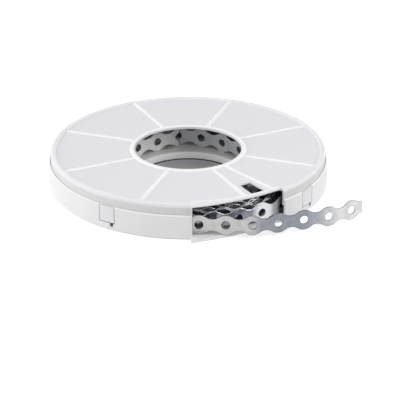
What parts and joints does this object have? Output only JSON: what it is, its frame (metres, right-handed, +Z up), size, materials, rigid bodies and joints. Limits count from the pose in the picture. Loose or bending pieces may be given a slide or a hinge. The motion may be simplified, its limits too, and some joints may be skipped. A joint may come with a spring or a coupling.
{
  "type": "perforated strap in dispenser cassette",
  "caption": "Wave-edged perforated steel fixing strap coiled in a flat round two-part plastic dispenser cassette, its end drawn out through the mouth.",
  "frame": {"origin": "on the cassette's axis, in the plane it stands on", "axes": "+Z up along the cassette's axis; -Y towards the side where the strap leaves; the drawn-out end runs to +X"},
  "size_m": [0.2608, 0.2424, 0.03],
  "materials": {
    "base_plastic": "white moulded plastic, satin",
    "lid_plastic": "white moulded plastic, satin",
    "galvanised_steel": "galvanised, dull bright"
  },
  "bodies": {
    "root": {"cassette_base": "base_plastic", "cassette_lid": "lid_plastic", "perforated_strap": "galvanised_steel"}
  },
  "joints": []
}
